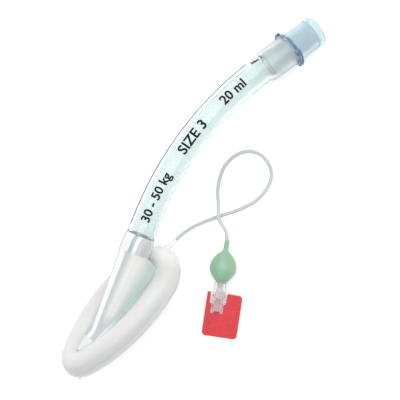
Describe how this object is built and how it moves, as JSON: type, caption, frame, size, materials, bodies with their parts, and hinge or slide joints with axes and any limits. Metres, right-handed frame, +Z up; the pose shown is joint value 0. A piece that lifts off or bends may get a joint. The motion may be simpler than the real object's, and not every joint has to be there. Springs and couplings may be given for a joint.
{
  "type": "laryngeal mask airway",
  "caption": "Laryngeal mask airway: inflated cuff on a dished backplate, curved clear tube with a 15 mm connector, and an inflation line to a pilot balloon with check valve and red vent tag.",
  "frame": {"origin": "on the table, under the middle of the airway without its inflation line and pilot group", "axes": "+X from the cuff's toe to the connector, +Z up from the table, +Y to the side that the tube's back faces"},
  "size_m": [0.2088, 0.0871, 0.0401],
  "materials": {
    "airway_tube": "clear PVC, faint green tint",
    "tube_connector": "clear polycarbonate, faint blue tint",
    "mask_backplate": "clear flexible PVC",
    "mask_cuff": "milky translucent PVC film",
    "inflation_line": "clear soft PVC",
    "pilot_balloon": "green PVC film",
    "valve_base": "clear ABS",
    "valve_body": "clear ABS",
    "valve_plunger": "white acetal",
    "valve_seal": "silicone rubber",
    "valve_spring": "stainless wire",
    "vent_tag": "red flexible plastic"
  },
  "bodies": {
    "airway": {"airway_tube": "airway_tube", "tube_connector": "tube_connector", "mask_backplate": "mask_backplate", "mask_cuff": "mask_cuff", "inflation_line": "inflation_line", "pilot_balloon": "pilot_balloon", "valve_base": "valve_base", "valve_body": "valve_body", "valve_spring": "valve_spring", "vent_tag": "vent_tag"},
    "plunger": {"valve_plunger": "valve_plunger", "valve_seal": "valve_seal"}
  },
  "joints": [
    {"name": "plunger_slide", "type": "slide", "parent": "airway", "child": "plunger", "axis": [0.8382, 0.5157, 0.1774], "range_m": [0, 0.0008], "stiffness_N_per_m": 200, "springref_m": -0.0015, "deforming": ["valve_spring"]}
  ]
}
